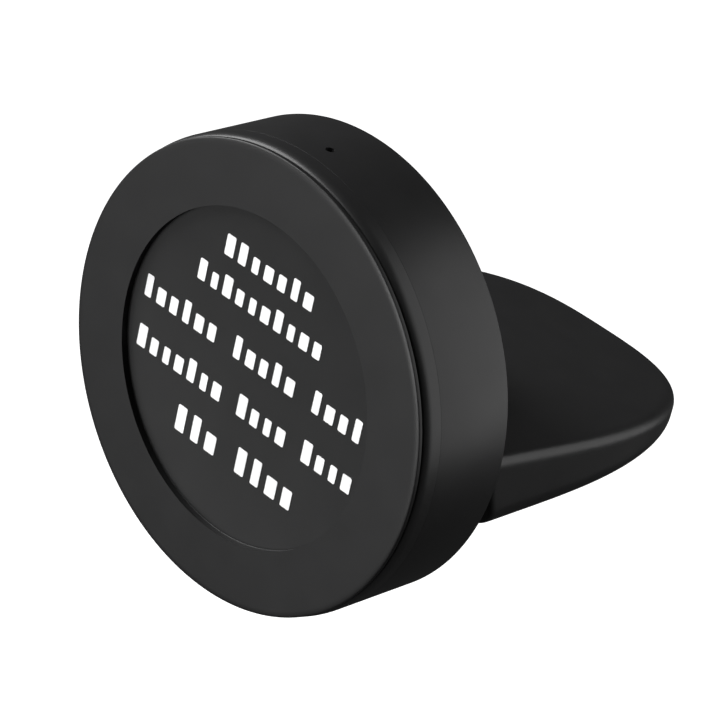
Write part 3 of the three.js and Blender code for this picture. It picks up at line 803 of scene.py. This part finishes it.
def plan_outline(inset, front, steps=96):
    """The plan outline moved in by an inset, from one front corner round the tip to the other."""
    half, reach = TAIL_HALF_WIDTH - inset, PLAN_TIP - inset - ROUND_START
    share = max(0.0, front - ROUND_START) / reach
    corner = half * (1 - share ** PLAN_POWER) ** (1 / PLAN_POWER)
    outline = [(corner, front)]
    for i in range(steps + 1):
        angle = math.pi * i / steps
        across = math.copysign(abs(math.cos(angle)) ** (2 / PLAN_POWER), math.cos(angle))
        depth = ROUND_START + reach * max(0.0, math.sin(angle)) ** (2 / PLAN_POWER)
        if depth > front + 0.05:
            outline.append((half * across, depth))
    return outline + [(-corner, front)]


def make_cover():
    outline = plan_outline(COVER_INSET + COVER_FIT, COVER_FRONT + COVER_FIT)
    cover = prism("cover", outline, TAIL_BOTTOM, top_of("tail_cover"))
    pocket = plan_outline(PAD_POCKET_INSET, front_of("grip_pad") - GAP)
    under = TAIL_BOTTOM - 1
    combine(cover, prism("cut", pocket, under, TAIL_BOTTOM + 0.5))
    for i in range(COVER_SCREWS):
        centre = cover_screw_centre(i)
        combine(cover, prism("cut", disc(SCREW_SEAT_RADIUS, centre), under, TAIL_BOTTOM + 1.3))
        combine(cover, prism("cut", disc(SCREW_HOLE_RADIUS, centre), under, TAIL_BOTTOM + 3))
    piece(cover, "tail", TAIL_SATIN, "tail_plastic", "tail_cover")


def make_pad():
    """The ribbed pad; each groove stops short of the pad's outline."""
    front, bottom = front_of("grip_pad"), foot_of("grip_pad")
    pad = prism("pad", plan_outline(PAD_INSET, front), bottom, top_of("grip_pad"))
    bevel(pad, 0.12)
    pitch, width = 1.5, 0.4
    count = int((back_of("grip_pad") - front - 2) / pitch)
    for i in range(count):
        depth = front + 1.2 + i * pitch
        share = max(0.0, (depth - ROUND_START) / (TAIL_TIP - PAD_INSET - ROUND_START))
        reach = PAD_HALF_WIDTH * (1 - share ** PLAN_POWER) ** (1 / PLAN_POWER)
        groove = slab(0, depth, 2 * reach, width, 0.15)
        combine(pad, prism("cut", groove, bottom - 1, bottom + PAD_GROOVE_DEPTH))
    piece(pad, "tail", RUBBER, "pad_rubber", "grip_pad")


# ---- inner pieces keep their CAD shape and get their own finish ----
def finish_inner_pieces():
    finishes = {
        "charging_coil": COPPER, "ferrite_sheet": FERRITE, "magnet_carrier": WHITE_PLASTIC,
        "magnet_yoke": STEEL, "circuit_board": BOARD, "led_chip": WHITE_PLASTIC, "light_pipe": CLEAR,
    }
    finishes.update({f"magnet_{i}": NICKEL for i in range(1, 7)})
    for node, material in finishes.items():
        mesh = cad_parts[node].data
        mesh.materials.clear()
        mesh.materials.append(material)


# ---- stage ----
def make_floor():
    size, drop = 6.0, 0.35
    corners = [(-size, -size), (size, -size), (size, size), (-size, size)]
    mesh = bpy.data.meshes.new("floor")
    mesh.from_pydata([(x, y, cad_box[0].z - drop) for x, y in corners], [], [(0, 1, 2, 3)])
    floor = bpy.data.objects.new("floor", mesh)
    material = bpy.data.materials.new("floor_white")
    material.use_nodes = True
    _, _, shader = nodes_of(material)
    shader.inputs["Base Color"].default_value = (0.9, 0.9, 0.9, 1)
    shader.inputs["Roughness"].default_value = 0.9
    shader.inputs["Emission Color"].default_value = (1, 1, 1, 1)
    shader.inputs["Emission Strength"].default_value = 1.0
    mesh.materials.append(material)
    floor.visible_diffuse = False
    floor.visible_glossy = False
    bpy.context.scene.collection.objects.link(floor)


def make_light(name, direction, distance, width, height, power):
    """A soft box that looks at the head from a direction in the frame."""
    data = bpy.data.lights.new(name, "AREA")
    data.shape, data.size, data.size_y, data.energy = "RECTANGLE", width, height, power
    light = bpy.data.objects.new(name, data)
    aim = place(0, HEAD_DEPTH, 0)
    towards = Vector(direction).normalized()
    light.location = aim + towards * distance
    light.visible_camera = False
    light.rotation_mode = "QUATERNION"
    light.rotation_quaternion = towards.to_track_quat("Z", "Y")
    bpy.context.scene.collection.objects.link(light)


def make_world(strength):
    """Even, dim studio light; the camera sees white beyond the floor."""
    world = bpy.data.worlds.new("studio")
    world.use_nodes = True
    tree = world.node_tree
    shader = tree.nodes["Background"]
    path = tree.nodes.new("ShaderNodeLightPath")
    level = tree.nodes.new("ShaderNodeMapRange")
    level.inputs["To Min"].default_value = strength
    level.inputs["To Max"].default_value = 1.0
    tree.links.new(path.outputs["Is Camera Ray"], level.inputs["Value"])
    tree.links.new(level.outputs["Result"], shader.inputs["Strength"])
    shader.inputs["Color"].default_value = (1, 1, 1, 1)
    bpy.context.scene.world = world


def make_stage():
    make_floor()
    make_light("key", (-0.75, -0.36, 0.52), 0.5, 0.4, 0.4, 4.2)
    make_light("rim", (0.62, 0.74, 0.28), 0.6, 0.6, 0.8, 2.2)
    make_light("front", (-0.12, -0.97, -0.10), 0.7, 0.3, 0.3, 3.0)
    make_light("face", (-0.55, -0.78, -0.20), 1.0, 0.8, 0.8, 0.8)
    make_world(0.03)
    bpy.context.scene.view_settings.view_transform = "Standard"


make_face_plate()
make_bezel()
make_housing()
make_socket()
make_collar()
make_screws()
make_print()
make_joint()
make_tail()
make_cover()
make_pad()
finish_inner_pieces()
make_stage()
